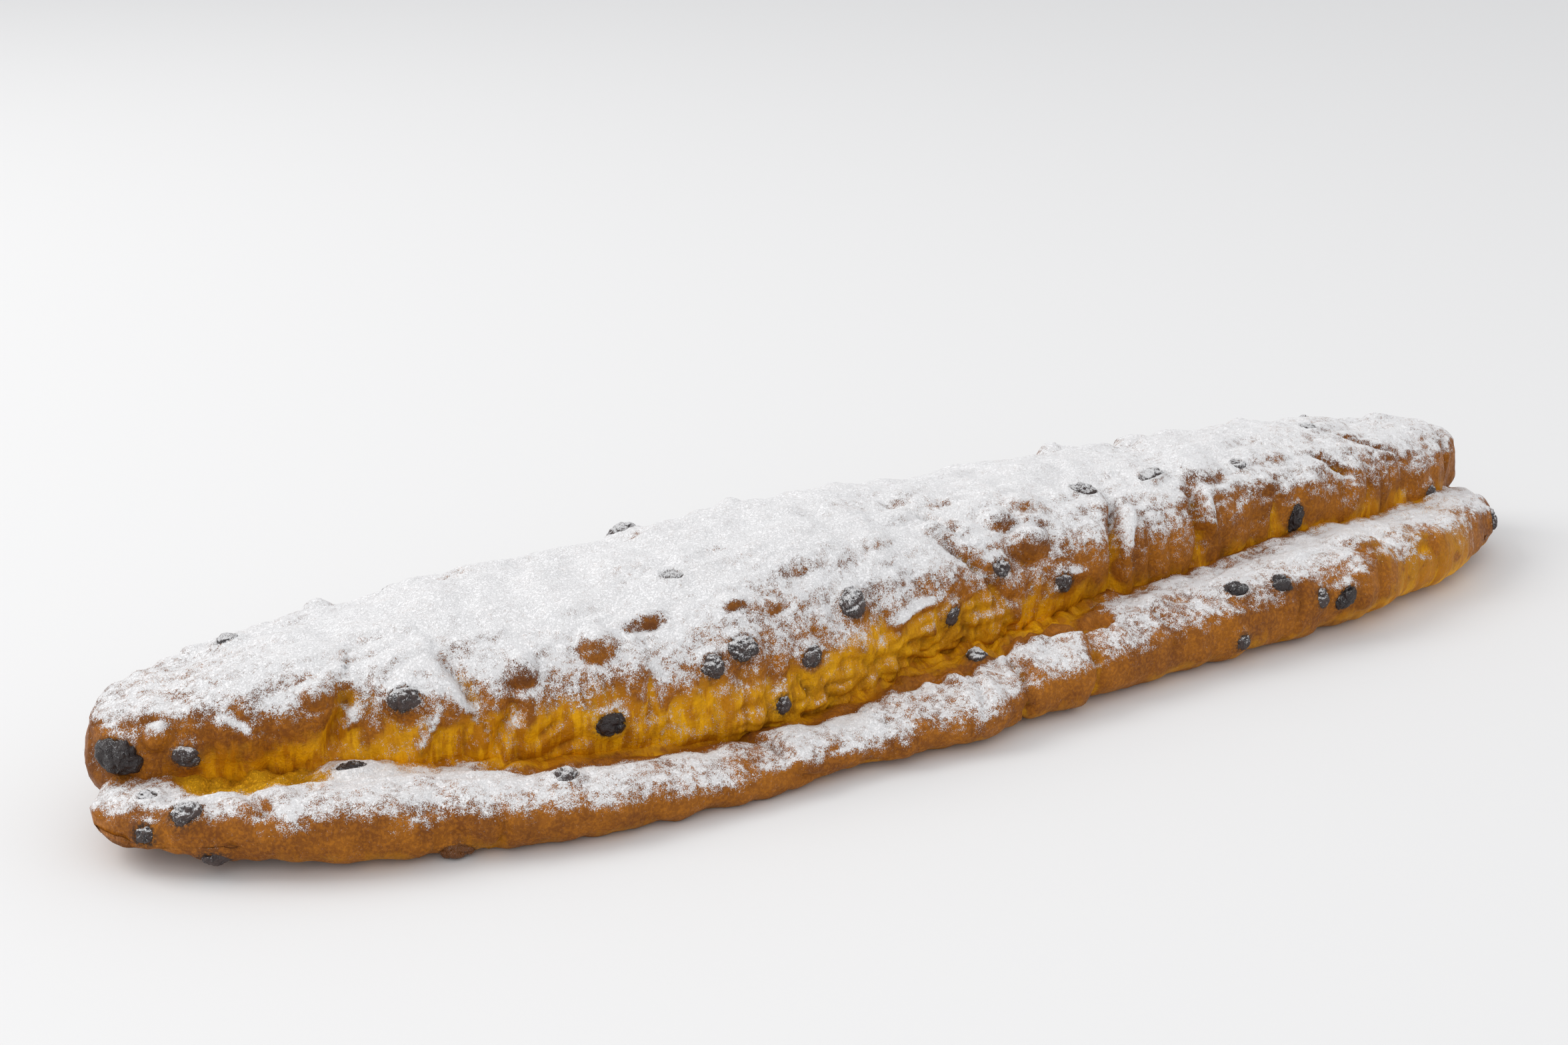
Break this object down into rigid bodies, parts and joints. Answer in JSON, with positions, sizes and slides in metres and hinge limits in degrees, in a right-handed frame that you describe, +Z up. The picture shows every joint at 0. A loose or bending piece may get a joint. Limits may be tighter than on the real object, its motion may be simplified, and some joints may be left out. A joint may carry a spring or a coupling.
{
  "type": "stollen",
  "caption": "Long folded loaf of sweet fruit bread with a raised fold lying on a lower layer that stands out as a lip, raisins in its crust and icing sugar on top.",
  "frame": {"origin": "centre of the loaf's footprint, on the surface that it lies on", "axes": "+X along the loaf, +Z up, -Y to the front, where the lower layer stands out as a lip"},
  "size_m": [0.708, 0.1679, 0.0778],
  "materials": {
    "crust": "baked brown crust with icing sugar",
    "raisin_skin": "wrinkled, slightly glossy"
  },
  "bodies": {
    "root": {"loaf": "crust", "raisin_01": "raisin_skin", "raisin_02": "raisin_skin", "raisin_03": "raisin_skin", "raisin_04": "raisin_skin", "raisin_05": "raisin_skin", "raisin_06": "raisin_skin", "raisin_07": "raisin_skin", "raisin_08": "raisin_skin", "raisin_09": "raisin_skin", "raisin_10": "raisin_skin", "raisin_11": "raisin_skin", "raisin_12": "raisin_skin", "raisin_13": "raisin_skin", "raisin_14": "raisin_skin", "raisin_15": "raisin_skin", "raisin_16": "raisin_skin", "raisin_17": "raisin_skin", "raisin_18": "raisin_skin", "raisin_19": "raisin_skin", "raisin_20": "raisin_skin", "raisin_21": "raisin_skin", "raisin_22": "raisin_skin", "raisin_23": "raisin_skin", "raisin_24": "raisin_skin", "raisin_25": "raisin_skin", "raisin_26": "raisin_skin", "raisin_27": "raisin_skin", "raisin_28": "raisin_skin", "raisin_29": "raisin_skin", "raisin_30": "raisin_skin", "raisin_31": "raisin_skin", "raisin_32": "raisin_skin", "raisin_33": "raisin_skin", "raisin_34": "raisin_skin", "raisin_35": "raisin_skin", "raisin_36": "raisin_skin", "raisin_37": "raisin_skin", "raisin_38": "raisin_skin", "raisin_39": "raisin_skin", "raisin_40": "raisin_skin"}
  },
  "joints": []
}
